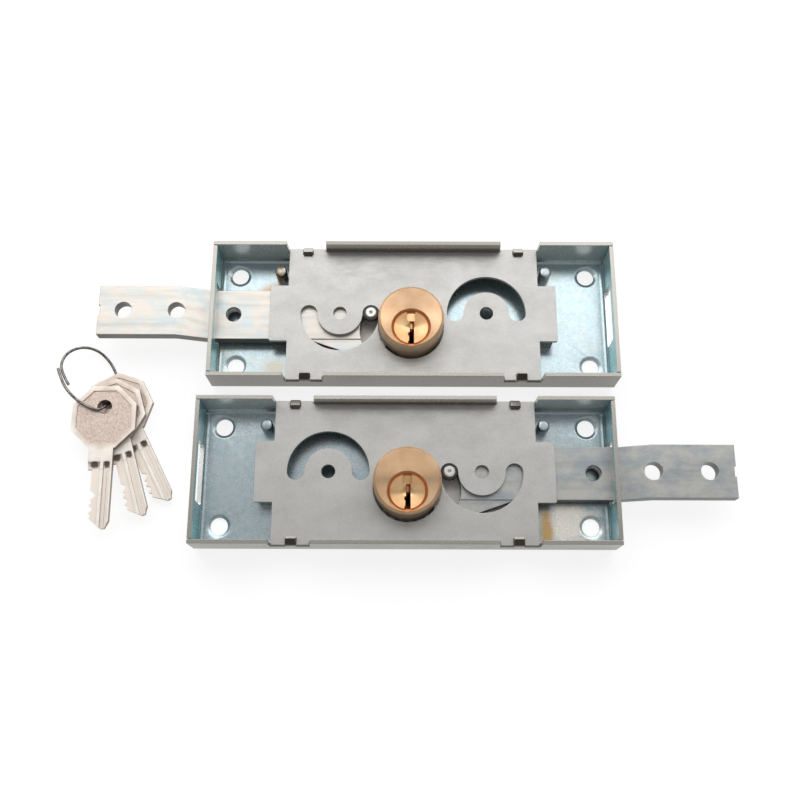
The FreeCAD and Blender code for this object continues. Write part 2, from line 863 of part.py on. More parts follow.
def ring_route():
    """The wire's corners: one end beside the loop's start, then over, through and under the bows."""
    over = key_low(0) + key_thickness + key_gap + wire_radius
    under = wire_radius
    return [
        (-136.0, -22.0, 7.0),
        (-133.7, -27.4, 8.2),
        (-130.3, -32.2, over + 0.1),
        (-125.4, -36.3, over + 0.1),
        (-120.8, -38.6, over),
        (-117.9, -38.9, over - 0.2),
        (-116.0, -35.8, key_low(1) + key_thickness),
        (-114.6, -32.6, key_low(1) - 0.6),
        (-114.1, -30.2, under),
        (-114.0, -26.6, under),
        (-115.2, -22.4, under),
        (-117.9, -17.4, 1.2),
        (-122.3, -13.2, 2.2),
        (-127.9, -11.8, 3.6),
        (-133.1, -14.2, 5.2),
        (-135.4, -19.0, 6.4),
        (-134.2, -24.0, 7.2),
        (-131.0, -28.7, 7.9),
    ]


def wire_path(points):
    """Straight runs between the corners, joined by tangent arcs."""
    corners = [FreeCAD.Vector(*p) for p in points]
    edges = []
    start = corners[0]
    radii = []
    for before, here, after in zip(corners, corners[1:], corners[2:]):
        back, on = before - here, after - here
        run = 0.45 * min(back.Length, on.Length)
        back.normalize()
        on.normalize()
        turn = math.pi - back.getAngle(on)
        radii.append(run / math.tan(turn / 2))
        first = here + back * run
        last = here + on * run
        inward = back + on
        inward.normalize()
        reach = radii[-1] / math.cos(turn / 2)
        middle = here + inward * (reach - radii[-1])
        edges.append(Part.LineSegment(start, first).toShape())
        edges.append(Part.Arc(first, middle, last).toShape())
        start = last
    edges.append(Part.LineSegment(start, corners[-1]).toShape())
    print("ring bends, tightest and widest radius", round(min(radii), 2), round(max(radii), 2))
    return Part.Wire(edges)


def make_ring():
    path = wire_path(ring_route())
    corners = [FreeCAD.Vector(*p) for p in ring_route()]
    section = Part.Wire(Part.Circle(corners[0], corners[1] - corners[0], wire_radius).toShape())
    ring = path.makePipeShell([section], True, False)
    expected = math.pi * wire_radius ** 2 * path.Length
    print("ring volume", round(ring.Volume, 3), "section times length", round(expected, 3))
    return ring


# The set

def write(name, shape):
    for solid in shape.Solids:
        if not solid.isValid():
            print("not valid:", name)
    shape.exportStep("parts/" + name + ".step")
    print(name, len(shape.Solids), "solids", round(shape.Volume, 2))


def write_handed(name, shape):
    """A piece that the right-hand lock has as a mirror image."""
    write("left_" + name, shape)
    right = shape.mirror(FreeCAD.Vector(0, 0, 0), FreeCAD.Vector(1, 0, 0))
    write("right_" + name, right.translated(right_lock))


def write_same(name, shape):
    """A piece of the cylinder, which is the same in both locks and drawn round its own upright."""
    aside = FreeCAD.Vector(cylinder_x, 0, 0)
    write("left_" + name, shape.translated(aside))
    write("right_" + name, shape.translated(right_lock - aside))


handed = {
    "case": make_case,
    "cover": make_cover,
    "pocket_posts": make_posts,
    "bolt": make_bolt,
    "crank_wheel": make_crank_wheel,
    "crank_pivot": make_crank_pivot,
    "crank_pin": make_crank_pin,
    "crank_roller": make_crank_roller,
    "pinion": make_pinion,
}
same_both = {
    "cylinder_housing": make_housing,
    "plug": make_plug,
    "plug_retainer": make_plug_retainer,
    "key_pins": make_key_pins,
    "driver_pins": make_driver_pins,
    "pin_springs": make_pin_springs,
    "chamber_plugs": make_chamber_plugs,
    "cylinder_screws": make_cylinder_screws,
}

right_lock = FreeCAD.Vector(right_lock_place[0], right_lock_place[1], 0)
os.makedirs("parts", exist_ok=True)
for name, make in handed.items():
    write_handed(name, make())
for name, make in same_both.items():
    write_same(name, make())
key = make_key()
for level in range(len(key_places)):
    write("key_" + str(level + 1), placed_key(key, level))
write("key_ring", make_ring())
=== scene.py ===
import math

import bmesh
import bpy
from mathutils import Matrix, Vector


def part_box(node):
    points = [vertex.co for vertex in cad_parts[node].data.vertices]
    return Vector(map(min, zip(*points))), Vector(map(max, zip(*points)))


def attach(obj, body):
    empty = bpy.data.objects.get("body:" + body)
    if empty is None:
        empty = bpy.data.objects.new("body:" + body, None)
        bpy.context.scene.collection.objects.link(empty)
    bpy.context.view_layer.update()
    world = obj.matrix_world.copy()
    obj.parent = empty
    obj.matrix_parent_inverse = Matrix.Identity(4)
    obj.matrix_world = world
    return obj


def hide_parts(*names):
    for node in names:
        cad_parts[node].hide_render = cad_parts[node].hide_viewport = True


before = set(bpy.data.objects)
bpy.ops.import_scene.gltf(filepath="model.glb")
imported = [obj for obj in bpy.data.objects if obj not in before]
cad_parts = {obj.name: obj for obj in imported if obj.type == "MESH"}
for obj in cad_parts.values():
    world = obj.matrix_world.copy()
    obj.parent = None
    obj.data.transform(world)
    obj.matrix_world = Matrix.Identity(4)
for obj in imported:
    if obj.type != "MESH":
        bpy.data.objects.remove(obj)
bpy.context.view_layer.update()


# Cases: steel trays, pressed and folded, then zinc plated. The plating is pale blue on the floor with
# warmer patches and teal on the end walls, and is painted darker grey outside as shade. Bare metal
# shows along the rims and the tops of the hems. Stains have dried in the pockets. Painted shade lies
# on the floor under the covers' free small holes, on the far hems and on the lugs' fronts, and the
# slots' sills carry a painted highlight.

mm = 0.001
sides = ("left", "right")


def srgb(red, green, blue):
    """A colour written as it is seen, 0 to 255, for a shader's socket."""
    return tuple(((c / 255 + 0.055) / 1.055) ** 2.4 if c > 10 else c / 255 / 12.92
                 for c in (red, green, blue)) + (1.0,)


def add_node(tree, kind, settings=None, **inputs):
    """A shader node with its settings, and each input as a value or a link. Gives its first output."""
    made = tree.nodes.new("ShaderNode" + kind)
    for name, value in (settings or {}).items():
        setattr(made, name, value)
    for name, value in inputs.items():
        socket = made.inputs[name.replace("_", " ")]
        if isinstance(value, bpy.types.NodeSocket):
            tree.links.new(value, socket)
        else:
            socket.default_value = value
    return made.outputs[0]


def maths(tree, operation, *values):
    """One operation on one to three values, each a number or a link."""
    made = tree.nodes.new("ShaderNodeMath")
    made.operation = operation
    for socket, value in zip(made.inputs, values):
        if isinstance(value, bpy.types.NodeSocket):
            tree.links.new(value, socket)
        else:
            socket.default_value = value
    return made.outputs[0]


def along(tree, vector, axis):
    """A vector's part along the axis X, Y or Z."""
    made = tree.nodes.new("ShaderNodeSeparateXYZ")
    tree.links.new(vector, made.inputs[0])
    return made.outputs[axis]


def measure(tree, operation, *vectors):
    """The length of a vector, or the dot product of two."""
    made = tree.nodes.new("ShaderNodeVectorMath")
    made.operation = operation
    for socket, vector in zip(made.inputs, vectors):
        tree.links.new(vector, socket)
    return made.outputs["Value"]


def blend(tree, amount, first, second):
    """The first colour where amount is 0, and the second where it is 1."""
    made = tree.nodes.new("ShaderNodeMix")
    made.data_type = "RGBA"
    sockets = made.inputs[0], made.inputs[6], made.inputs[7]
    for socket, value in zip(sockets, (amount, first, second)):
        if isinstance(value, bpy.types.NodeSocket):
            tree.links.new(value, socket)
        else:
            socket.default_value = value
    return made.outputs[2]


def between(tree, value, low, high, start=0.0, end=1.0):
    """value from low to high, spread over start to end and held there."""
    made = tree.nodes.new("ShaderNodeMapRange")
    tree.links.new(value, made.inputs["Value"])
    for name, number in (("From Min", low), ("From Max", high), ("To Min", start), ("To Max", end)):
        made.inputs[name].default_value = number
    return made.outputs["Result"]


def over(tree, value, limit, fade=0.1 * mm):
    """1 where value has passed the limit, and 0 before it."""
    return between(tree, value, limit, limit + fade)


def under(tree, value, limit, fade=0.1 * mm):
    """1 where value keeps below the limit, and 0 above it."""
    return between(tree, value, limit + fade, limit)


def overlap(tree, *masks):
    """1 where every mask is 1."""
    joined = masks[0]
    for mask in masks[1:]:
        joined = maths(tree, "MULTIPLY", joined, mask)
    return joined


def upright(tree, flat, steep, most=1.0):
    """Rises to most on upright faces, as the normal's part along Z falls from flat to steep."""
    facing = tree.nodes.new("ShaderNodeNewGeometry").outputs["Normal"]
    return between(tree, maths(tree, "ABSOLUTE", along(tree, facing, "Z")), flat, steep, 0.0, most)


def cloudy(tree, place, size, stretch=(1, 1, 1), detail=3.0, rough=0.55):
    """Noise with marks about as wide as size, in metres, drawn out by stretch."""
    scaled = add_node(tree, "Mapping", Vector=place, Scale=[1 / (size * s) for s in stretch])
    return add_node(tree, "TexNoise", Vector=scaled, Scale=1.0, Detail=detail, Roughness=rough)


def metal(name, colour, metallic, roughness):
    """A new material and its tree, shader and object coordinates."""
    material = bpy.data.materials.new(name)
    material.use_nodes = True
    tree = material.node_tree
    shader = tree.nodes["Principled BSDF"]
    shader.inputs["Base Color"].default_value = colour
    shader.inputs["Metallic"].default_value = metallic
    shader.inputs["Roughness"].default_value = roughness
    place = tree.nodes.new("ShaderNodeTexCoord").outputs["Object"]
    return material, tree, shader, place


def surface(tree, shader, height, depth, edge):
    """Fine relief of that depth, over edges that are softened to that radius."""
    soft = add_node(tree, "Bevel", {"samples": 6}, Radius=edge)
    bump = add_node(tree, "Bump", Height=height, Distance=depth, Strength=1.0, Normal=soft)
    tree.links.new(bump, shader.inputs["Normal"])


weld_reach = 0.002 * mm
sharp_angle = math.radians(28)


def dress(node, material):
    """A CAD piece in its finish, with its round sides smooth, its edges sharp and its flats flat."""
    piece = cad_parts[node]
    piece.data.materials.clear()
    piece.data.materials.append(material)
    piece.data.polygons.foreach_set("use_smooth", [True] * len(piece.data.polygons))
    weld = piece.modifiers.new("joined", "WELD")
    weld.merge_threshold = weld_reach
    split = piece.modifiers.new("edges", "EDGE_SPLIT")
    split.split_angle = sharp_angle
    flats = piece.modifiers.new("flats", "WEIGHTED_NORMAL")
    flats.weight = 100


# In each side's plating, "outside" is painted shade: the outer walls are coloured darker grey, as they
# look when reflecting the shaded table beside them.
plating = {
    "left": {"floor": srgb(196, 210, 214), "patch": srgb(206, 198, 186), "blue": srgb(176, 200, 206),
             "long_wall": srgb(196, 204, 200), "end_wall": srgb(138, 196, 198),
             "outside": srgb(119, 116, 109), "rim": srgb(170, 167, 160), "hem": srgb(142, 138, 131)},
    "right": {"floor": srgb(190, 202, 205), "patch": srgb(190, 190, 188), "blue": srgb(168, 186, 194),
              "long_wall": srgb(206, 214, 212), "end_wall": srgb(112, 174, 180),
              "outside": srgb(118, 115, 111), "rim": srgb(172, 169, 162), "hem": srgb(178, 176, 171)},
}
speck_blue = srgb(150, 170, 182)
# Painted highlight: the upward cut sills of the end slots are near white, as where they would catch
# the white table.
sill_highlight_white = srgb(252, 252, 250)
# Painted shade and light on the far hem's inner face: dark at its foot by the cover, pale along its
# crest.
hem_shaded_foot, hem_lit_crest = srgb(120, 115, 108), srgb(214, 208, 198)
# Painted light and shade on the lugs: pale on the faces towards the lamp, dark on the faces turned to
# the front.
lug_lit_side, lug_shaded_front = srgb(206, 199, 188), srgb(84, 78, 72)

# Each mark: its place from the case's middle and its reach, in millimetres, its strength and colour.
# The first mark of each side is painted shade, a dark spot on the floor under the cover's free small
# hole where the floor lies in shadow. The others are stains.
stains_and_shade_spots = {"left": (((28.3, 2.0), (5.0, 5.0), 0.9, srgb(84, 90, 92)),
                   ((-54.0, 12.5), (7.0, 3.5), 0.8, srgb(176, 138, 98)),
                   ((-54.0, -19.5), (5.0, 4.0), 0.6, srgb(186, 168, 140))),
          "right": (((-28.3, 2.0), (5.0, 5.0), 0.9, srgb(76, 80, 82)),
                    ((61.0, -18.0), (11.0, 9.0), 0.9, srgb(250, 244, 234)),
                    ((52.5, -20.0), (2.6, 8.0), 0.9, srgb(206, 166, 104)))}

# Distances along the case from its middle.
lug_from = 37 * mm
hem_half = 43 * mm
end_wall_from = 68 * mm
sill_from = 75.8 * mm

# Heights above the case's back.
sill_low, sill_high = 2.4 * mm, 5.0 * mm
rim_from = 8.3 * mm
cover_top = 10 * mm
crest_from = 12 * mm

plated_metallic, wall_loss = 0.85, 0.45
for side in sides:
    low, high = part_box(side + "_case")
    centre = (low + high) / 2
    back = low.z
    shades = plating[side]
    case_zinc, tree, shader, place = metal(side + "_zinc_sheet", shades["floor"],
                                           plated_metallic, 0.24)
    height = along(tree, place, "Z")
    flat_place = add_node(tree, "Mapping", Vector=place, Location=(-centre.x, -centre.y, 0),
                          Scale=(1, 1, 0))
    from_middle = maths(tree, "ABSOLUTE", along(tree, flat_place, "X"))
    facing = tree.nodes.new("ShaderNodeNewGeometry").outputs["Normal"]
    face_up = between(tree, along(tree, facing, "Z"), 0.1, 0.3)
    endwise = between(tree, maths(tree, "ABSOLUTE", along(tree, facing, "X")), 0.5, 0.8)
    outside = over(tree, measure(tree, "DOT_PRODUCT", facing, flat_place), 0.0, 4 * mm)
    inside = maths(tree, "SUBTRACT", 1.0, outside)
    wall_face = upright(tree, 0.85, 0.35)
    edge_face = between(tree, maths(tree, "ABSOLUTE", along(tree, facing, "Z")), 0.6, 0.75)

    clouds = cloudy(tree, place, 16 * mm, detail=5.0, rough=0.6)
    colour = blend(tree, between(tree, clouds, 0.48, 0.70, 0.0, 0.8), shades["floor"], shades["patch"])
    drops = cloudy(tree, place, 2 * mm, detail=6.0, rough=0.8)
    colour = blend(tree, between(tree, drops, 0.42, 0.66), colour, shades["blue"])
    specks = cloudy(tree, place, 0.45 * mm, detail=3.0, rough=0.7)
    colour = blend(tree, between(tree, specks, 0.45, 0.75, 0.0, 0.4), colour, speck_blue)
    ragged = cloudy(tree, place, 4 * mm, detail=5.0, rough=0.6)
    # Stains, and the painted shade spots under the free small holes, laid on the floor's upward faces.
    for (x, y), (reach_x, reach_y), strength, tint in stains_and_shade_spots[side]:
        across, up = 1 / (reach_x * mm), 1 / (reach_y * mm)
        offset = add_node(tree, "Mapping", Vector=place, Scale=(across, up, 0),
                          Location=(-(x * mm + centre.x) * across, -(y * mm + centre.y) * up, 0))
        reach = maths(tree, "MULTIPLY_ADD", ragged, 1.6, measure(tree, "LENGTH", offset))
        stain_and_shade_spot = overlap(tree, face_up, between(tree, reach, 2.0, 1.3, 0.0, strength))
        colour = blend(tree, stain_and_shade_spot, colour, tint)

    at_end = over(tree, from_middle, end_wall_from, 2 * mm)
    ends = blend(tree, at_end, shades["rim"], shades["end_wall"])
    walls = blend(tree, endwise, shades["long_wall"], ends)
    streaks = cloudy(tree, place, 3 * mm, stretch=(1, 3, 4), detail=4.0)
    walls = blend(tree, between(tree, streaks, 0.45, 0.65, 0.0, 0.6), walls, shades["floor"])
    # Outer faces take that painted-shade grey.
    walls = blend(tree, outside, walls, shades["outside"])
    colour = blend(tree, wall_face, colour, walls)
    cut_edge = overlap(tree, over(tree, height, back + rim_from), edge_face)
    colour = blend(tree, cut_edge, colour, shades["rim"])
    # Painted highlight on the end slots' sills.
    sill_highlight = overlap(tree, face_up, over(tree, from_middle, sill_from, 0.2 * mm),
                   over(tree, height, back + sill_low), under(tree, height, back + sill_high))
    colour = blend(tree, sill_highlight, colour, sill_highlight_white)

    # The far hem's inner face is painted darker towards the cover below and paler along its crest, as
    # shade and light. Its top keeps the hem's tone.
    folded = overlap(tree, over(tree, height, back + cover_top),
                     under(tree, from_middle, hem_half, 1 * mm))
    far_side = over(tree, along(tree, flat_place, "Y"), 0.0, 1 * mm)
    lit_crest = over(tree, height, back + crest_from, 2 * mm)
    hem_shade = blend(tree, edge_face, blend(tree, lit_crest, hem_shaded_foot, hem_lit_crest), shades["hem"])
    colour = blend(tree, overlap(tree, folded, far_side, inside), colour, hem_shade)
    # Lugs painted as lit and shaded: their fronts, turned away from the lamp, are dark.
    on_lug = overlap(tree, folded, over(tree, from_middle, lug_from, 1 * mm))
    front_in_shade = between(tree, along(tree, facing, "Y"), -0.1, -0.3)
    colour = blend(tree, on_lug, colour, blend(tree, front_in_shade, lug_lit_side, lug_shaded_front))
    tree.links.new(colour, shader.inputs["Base Color"])

    inner_wall = overlap(tree, wall_face, inside)
    metallic = maths(tree, "MULTIPLY_ADD", inner_wall, -wall_loss, plated_metallic)
    tree.links.new(metallic, shader.inputs["Metallic"])
    grain = cloudy(tree, place, 0.5 * mm, stretch=(2, 1, 1), detail=5.0)
    rubbed = maths(tree, "MULTIPLY_ADD", clouds, 0.5, maths(tree, "MULTIPLY", grain, 0.5))
    tree.links.new(between(tree, rubbed, 0.35, 0.65, 0.21, 0.30), shader.inputs["Roughness"])
    surface(tree, shader, grain, 0.0004 * mm, 0.25 * mm)
    dress(side + "_case", case_zinc)


# Covers: flat plates blanked from bare cold-rolled steel, laid on the long walls and held by the
# crimped lugs. An even warm grey with a fine mottle, faint clouds, a few specks and light scuffs.

cover_greys = {"left": (srgb(196, 195, 192), srgb(184, 183, 180)),
               "right": (srgb(190, 189, 186), srgb(176, 175, 172))}
speck_brown = srgb(126, 118, 110)
for side in sides:
    pale, dull = cover_greys[side]
    rolled_steel, tree, shader, place = metal(side + "_rolled_steel", pale, 0.75, 0.42)
    clouds = cloudy(tree, place, 9 * mm, stretch=(1.4, 1, 1), detail=5.0, rough=0.65)
    mottle = cloudy(tree, place, 0.7 * mm, detail=4.0, rough=0.7)
    mixed = maths(tree, "MULTIPLY_ADD", mottle, 0.4, maths(tree, "MULTIPLY", clouds, 0.6))
    colour = blend(tree, between(tree, mixed, 0.40, 0.62), pale, dull)
    specks = cloudy(tree, place, 1.2 * mm, detail=2.0)
    colour = blend(tree, between(tree, specks, 0.72, 0.80, 0.0, 0.35), colour, speck_brown)
    tree.links.new(colour, shader.inputs["Base Color"])
    scuffs = cloudy(tree, place, 0.5 * mm, stretch=(9, 1.5, 1), detail=4.0)
    worn = maths(tree, "MULTIPLY_ADD", scuffs, 0.5, maths(tree, "MULTIPLY", mixed, 0.5))
    tree.links.new(between(tree, worn, 0.36, 0.62, 0.36, 0.52), shader.inputs["Roughness"])
    surface(tree, shader, mottle, 0.010 * mm, 0.2 * mm)
    dress(side + "_cover", rolled_steel)


# Posts: bright turned pillars with rounded heads, riveted through the floor beside the cover to stop
# a fixing bolt's head from pushing under it. The first of each pair is stained with the floor round
# it, brown in the left-hand lock.

post_tones = {"left": (srgb(206, 214, 216), srgb(172, 140, 96)),
              "right": (srgb(190, 202, 206), srgb(162, 178, 182))}
for side in sides:
    low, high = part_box(side + "_pocket_posts")
    bright, stained = post_tones[side]
    turned_steel, tree, shader, place = metal(side + "_turned_steel", bright, 1.0, 0.2)
    rings = cloudy(tree, place, 0.25 * mm, stretch=(12, 12, 1))
    clouds = cloudy(tree, place, 2 * mm, detail=4.0)
    first_post = under(tree, along(tree, place, "X"), low.x + 4 * mm, 1 * mm)
    dirty = overlap(tree, first_post, between(tree, clouds, 0.35, 0.6))
    tree.links.new(blend(tree, dirty, bright, stained), shader.inputs["Base Color"])
    tree.links.new(between(tree, rings, 0.3, 0.7, 0.28, 0.36), shader.inputs["Roughness"])
    shader.inputs["Anisotropic"].default_value = 0.9
    tree.links.new(add_node(tree, "CombineXYZ", Y=1.0), shader.inputs["Tangent"])
    surface(tree, shader, rings, 0.003 * mm, 0.3 * mm)
    dress(side + "_pocket_posts", turned_steel)


# Bolts: zinc-plated steel strip with one joggle, rubbed bright on top where it slides, with mottled
# plating and fine dark rub lines along the strip. Their upright sides are painted dark as shade.

strip_tones = {"left": (srgb(214, 206, 196), srgb(196, 204, 205), srgb(98, 95, 90)),
               "right": (srgb(183, 182, 177), srgb(156, 163, 168), srgb(92, 92, 90))}
for side in sides:
    pale, blue, rub_and_side_shade = strip_tones[side]
    plated_strip, tree, shader, place = metal(side + "_plated_strip", pale, 0.85, 0.36)
    clouds = cloudy(tree, place, 6 * mm, stretch=(1.5, 1, 1), detail=5.0, rough=0.68)
    colour = blend(tree, between(tree, clouds, 0.42, 0.64), pale, blue)
    mottle = cloudy(tree, place, 0.9 * mm, detail=4.0, rough=0.7)
    colour = blend(tree, between(tree, mottle, 0.52, 0.72, 0.0, 0.35), colour, blue)
    rubs = cloudy(tree, place, 2.4 * mm, stretch=(12, 1, 1), detail=3.0)
    colour = blend(tree, between(tree, rubs, 0.45, 0.75, 0.0, 0.22), colour, rub_and_side_shade)
    # Painted shade: the upright sides take the dark tone, as faces turned from the lamp.
    colour = blend(tree, upright(tree, 0.7, 0.3), colour, rub_and_side_shade)
    tree.links.new(colour, shader.inputs["Base Color"])
    lines = cloudy(tree, place, 0.4 * mm, stretch=(16, 1, 1))
    tree.links.new(between(tree, lines, 0.3, 0.7, 0.30, 0.44), shader.inputs["Roughness"])
    surface(tree, shader, mottle, 0.012 * mm, 0.35 * mm)
    dress(side + "_bolt", plated_strip)


# Crank: a toothed wheel blanked from steel, its pivot riveted into the case, a pin with a dimpled
# bright head, and a black roller on the pin that shows through the J-shaped slot. The pinion is of
# the wheel's steel, and the cylinder's screws of the pin's.

satin_pale, satin_grey = srgb(250, 247, 242), srgb(232, 228, 222)
roller_black, roller_worn = srgb(26, 25, 25), srgb(52, 50, 48)
for side in sides:
    satin_steel, tree, shader, place = metal(side + "_satin_steel", srgb(236, 232, 226), 0.2, 0.45)
    clouds = cloudy(tree, place, 5 * mm, detail=4.0)
    colour = blend(tree, between(tree, clouds, 0.42, 0.68), satin_pale, satin_grey)
    tree.links.new(colour, shader.inputs["Base Color"])
    grain = cloudy(tree, place, 0.3 * mm, detail=4.0)
    surface(tree, shader, grain, 0.01 * mm, 0.15 * mm)
    for node in ("_crank_wheel", "_pinion"):
        dress(side + node, satin_steel)
    bright_pin, tree, shader, place = metal(side + "_bright_pin", srgb(214, 212, 208), 0.8, 0.3)
    grain = cloudy(tree, place, 0.4 * mm, detail=4.0)
    tree.links.new(between(tree, grain, 0.3, 0.7, 0.24, 0.38), shader.inputs["Roughness"])
    surface(tree, shader, grain, 0.003 * mm, 0.2 * mm)
    for node in ("_crank_pin", "_crank_pivot", "_cylinder_screws"):
        dress(side + node, bright_pin)
    black_roller, tree, shader, place = metal(side + "_black_roller", srgb(30, 29, 28), 0.0, 0.35)
    grain = cloudy(tree, place, 0.5 * mm, detail=4.0)
    colour = blend(tree, between(tree, grain, 0.45, 0.75), roller_black, roller_worn)
    tree.links.new(colour, shader.inputs["Base Color"])
    surface(tree, shader, grain, 0.008 * mm, 0.12 * mm)
    dress(side + "_crank_roller", black_roller)


# Cylinders: round housings turned from brass, with the lathe's rings on the face, and plugs turned
# from a redder bar. Pins and chamber plugs are of the same bars, the springs and retainers of steel.

# Each bar's two tones and the tone of its upright faces, and the deeper brown of painted shade in the
# recess round the plug.
body_bar = (srgb(216, 182, 148), srgb(200, 160, 122), srgb(206, 176, 148))
plug_bar = (srgb(232, 196, 150), srgb(212, 160, 108), srgb(214, 150, 96))
recess_shade_brown = srgb(216, 148, 98)
recess_inner, recess_outer = 6.1 * mm, 7.3 * mm
keyway_from = 0.9 * mm


def turned_brass(name, bar, centre, plug_centre, face):
    """Brass with the lathe's rings round centre. Lower than keyway_from under face it is milled."""
    pale, deep, side_tone = bar
    material, tree, shader, place = metal(name, pale, 1.0, 0.33)
    shader.inputs["Anisotropic"].default_value = 1.0
    middle = add_node(tree, "Mapping", Vector=place, Location=(-centre[0], -centre[1], 0),
                      Scale=(1, 1, 0))
    milled = under(tree, along(tree, place, "Z"), face - keyway_from)
    grain_way = blend(tree, milled, middle, (1, 0, 0, 1))
    across = add_node(tree, "VectorTransform", {"vector_type": "VECTOR", "convert_from": "OBJECT",
                                                "convert_to": "WORLD"}, Vector=grain_way)
    tree.links.new(across, shader.inputs["Tangent"])
    out = add_node(tree, "CombineXYZ", X=measure(tree, "LENGTH", middle))
    rings = cloudy(tree, out, 0.12 * mm, detail=3.0)
    clouds = cloudy(tree, place, 5 * mm, detail=4.0)
    tone = maths(tree, "MULTIPLY_ADD", rings, 0.5, maths(tree, "MULTIPLY", clouds, 0.5))
    colour = blend(tree, between(tree, tone, 0.38, 0.64), pale, deep)
    wall = upright(tree, 0.4, 0.2)
    colour = blend(tree, wall, colour, side_tone)
    tree.links.new(maths(tree, "MULTIPLY_ADD", wall, -0.5, 1.0), shader.inputs["Metallic"])
    seated = add_node(tree, "Mapping", Vector=place, Location=(-plug_centre[0], -plug_centre[1], 0),
                      Scale=(1, 1, 0))
    from_plug = measure(tree, "LENGTH", seated)
    # Painted shade: a deeper brown ring in the countersink round the plug.
    shaded_recess = overlap(tree, over(tree, from_plug, recess_inner),
                     under(tree, from_plug, recess_outer, 0.2 * mm))
    colour = blend(tree, shaded_recess, colour, recess_shade_brown)
    tree.links.new(colour, shader.inputs["Base Color"])
    tree.links.new(between(tree, tone, 0.35, 0.65, 0.30, 0.36), shader.inputs["Roughness"])
    surface(tree, shader, rings, 0.003 * mm, 0.2 * mm)
    return material


for side in sides:
    low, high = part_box(side + "_cylinder_housing")
    housing_centre = (low + high) / 2
    housing_foot = low.z
    low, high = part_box(side + "_plug")
    plug_centre = (low + high) / 2
    body_brass = turned_brass(side + "_body_brass", body_bar, housing_centre, plug_centre,
                              housing_foot)
    for node in ("_cylinder_housing", "_chamber_plugs"):
        dress(side + node, body_brass)
    plug_brass = turned_brass(side + "_plug_brass", plug_bar, plug_centre, plug_centre, high.z)
    for node in ("_plug", "_key_pins", "_driver_pins"):
        dress(side + node, plug_brass)
    spring_steel, tree, shader, place = metal(side + "_spring_steel", srgb(150, 148, 146), 1.0, 0.3)
    grain = cloudy(tree, place, 0.3 * mm, detail=4.0)
    tree.links.new(between(tree, grain, 0.3, 0.7, 0.22, 0.42), shader.inputs["Roughness"])
    surface(tree, shader, grain, 0.006 * mm, 0.08 * mm)
    for node in ("_pin_springs", "_plug_retainer"):
        dress(side + node, spring_steel)


# Keys: stamped from nickel silver and milled, with a rubbed rim round a stippled bow. Brown tarnish
# lies in the bow. The upright sides are painted brown as shade, and dark ovals of painted shade lie
# where the cutters ran out of the blade.

bow_tones = srgb(228, 212, 200), srgb(210, 191, 178)
blade_tones = srgb(254, 249, 241), srgb(248, 237, 225)
tarnish_tones = srgb(226, 209, 198), srgb(196, 175, 161)
groove_tone, side_shade_brown, runout_shade_brown = srgb(252, 240, 228), srgb(120, 98, 84), srgb(74, 58, 50)
bow_radius = 12.2 * mm
blade_from = 10.5 * mm

